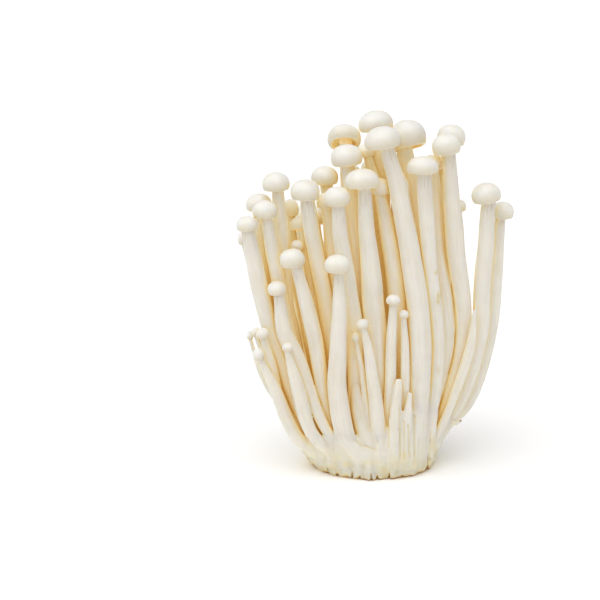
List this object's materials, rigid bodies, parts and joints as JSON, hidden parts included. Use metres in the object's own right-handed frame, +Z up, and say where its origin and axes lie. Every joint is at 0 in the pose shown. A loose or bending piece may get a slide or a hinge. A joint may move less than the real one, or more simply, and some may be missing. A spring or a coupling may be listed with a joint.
{
  "type": "enoki mushroom bunch",
  "caption": "Bunch of long-stemmed cream-white mushrooms with small round caps, grown from one fused root mass that is cut flat below.",
  "frame": {"origin": "middle of the flat cut face that the bunch stands on", "axes": "+Z up along the stems, +X to the right and +Y to the back, seen from the side that shows the short front mushrooms"},
  "size_m": [0.0969, 0.0607, 0.1254],
  "materials": {
    "mushroom_flesh": "satin",
    "root_mass": "matte"
  },
  "bodies": {
    "root": {"cut_base": "root_mass", "mushroom_front_01": "mushroom_flesh", "mushroom_front_02": "mushroom_flesh", "mushroom_front_03": "mushroom_flesh", "mushroom_front_04": "mushroom_flesh", "mushroom_front_05": "mushroom_flesh", "mushroom_front_06": "mushroom_flesh", "mushroom_front_07": "mushroom_flesh", "mushroom_front_08": "mushroom_flesh", "mushroom_front_09": "mushroom_flesh", "mushroom_front_10": "mushroom_flesh", "mushroom_front_11": "mushroom_flesh", "mushroom_front_12": "mushroom_flesh", "mushroom_front_13": "mushroom_flesh", "mushroom_front_14": "mushroom_flesh", "mushroom_front_15": "mushroom_flesh", "mushroom_front_16": "mushroom_flesh", "mushroom_front_17": "mushroom_flesh", "mushroom_front_18": "mushroom_flesh", "mushroom_front_19": "mushroom_flesh", "mushroom_front_20": "mushroom_flesh", "mushroom_front_21": "mushroom_flesh", "mushroom_front_22": "mushroom_flesh", "mushroom_front_23": "mushroom_flesh", "mushroom_front_24": "mushroom_flesh", "mushroom_front_25": "mushroom_flesh", "mushroom_front_26": "mushroom_flesh", "mushroom_front_27": "mushroom_flesh", "mushroom_front_28": "mushroom_flesh", "mushroom_front_29": "mushroom_flesh", "mushroom_front_30": "mushroom_flesh", "mushroom_front_31": "mushroom_flesh", "mushroom_front_32": "mushroom_flesh", "mushroom_front_33": "mushroom_flesh", "mushroom_front_34": "mushroom_flesh", "mushroom_front_35": "mushroom_flesh", "mushroom_front_36": "mushroom_flesh", "mushroom_front_37": "mushroom_flesh", "mushroom_front_38": "mushroom_flesh", "mushroom_back_01": "mushroom_flesh", "mushroom_back_02": "mushroom_flesh", "mushroom_back_03": "mushroom_flesh", "mushroom_back_04": "mushroom_flesh", "mushroom_back_05": "mushroom_flesh", "mushroom_back_06": "mushroom_flesh", "mushroom_back_07": "mushroom_flesh", "mushroom_back_08": "mushroom_flesh", "mushroom_back_09": "mushroom_flesh", "mushroom_back_10": "mushroom_flesh", "mushroom_back_11": "mushroom_flesh", "mushroom_back_12": "mushroom_flesh", "mushroom_back_13": "mushroom_flesh", "mushroom_back_14": "mushroom_flesh", "mushroom_back_15": "mushroom_flesh", "mushroom_back_16": "mushroom_flesh", "mushroom_back_17": "mushroom_flesh", "mushroom_back_18": "mushroom_flesh", "mushroom_back_19": "mushroom_flesh", "mushroom_back_20": "mushroom_flesh", "mushroom_back_21": "mushroom_flesh"}
  },
  "joints": []
}
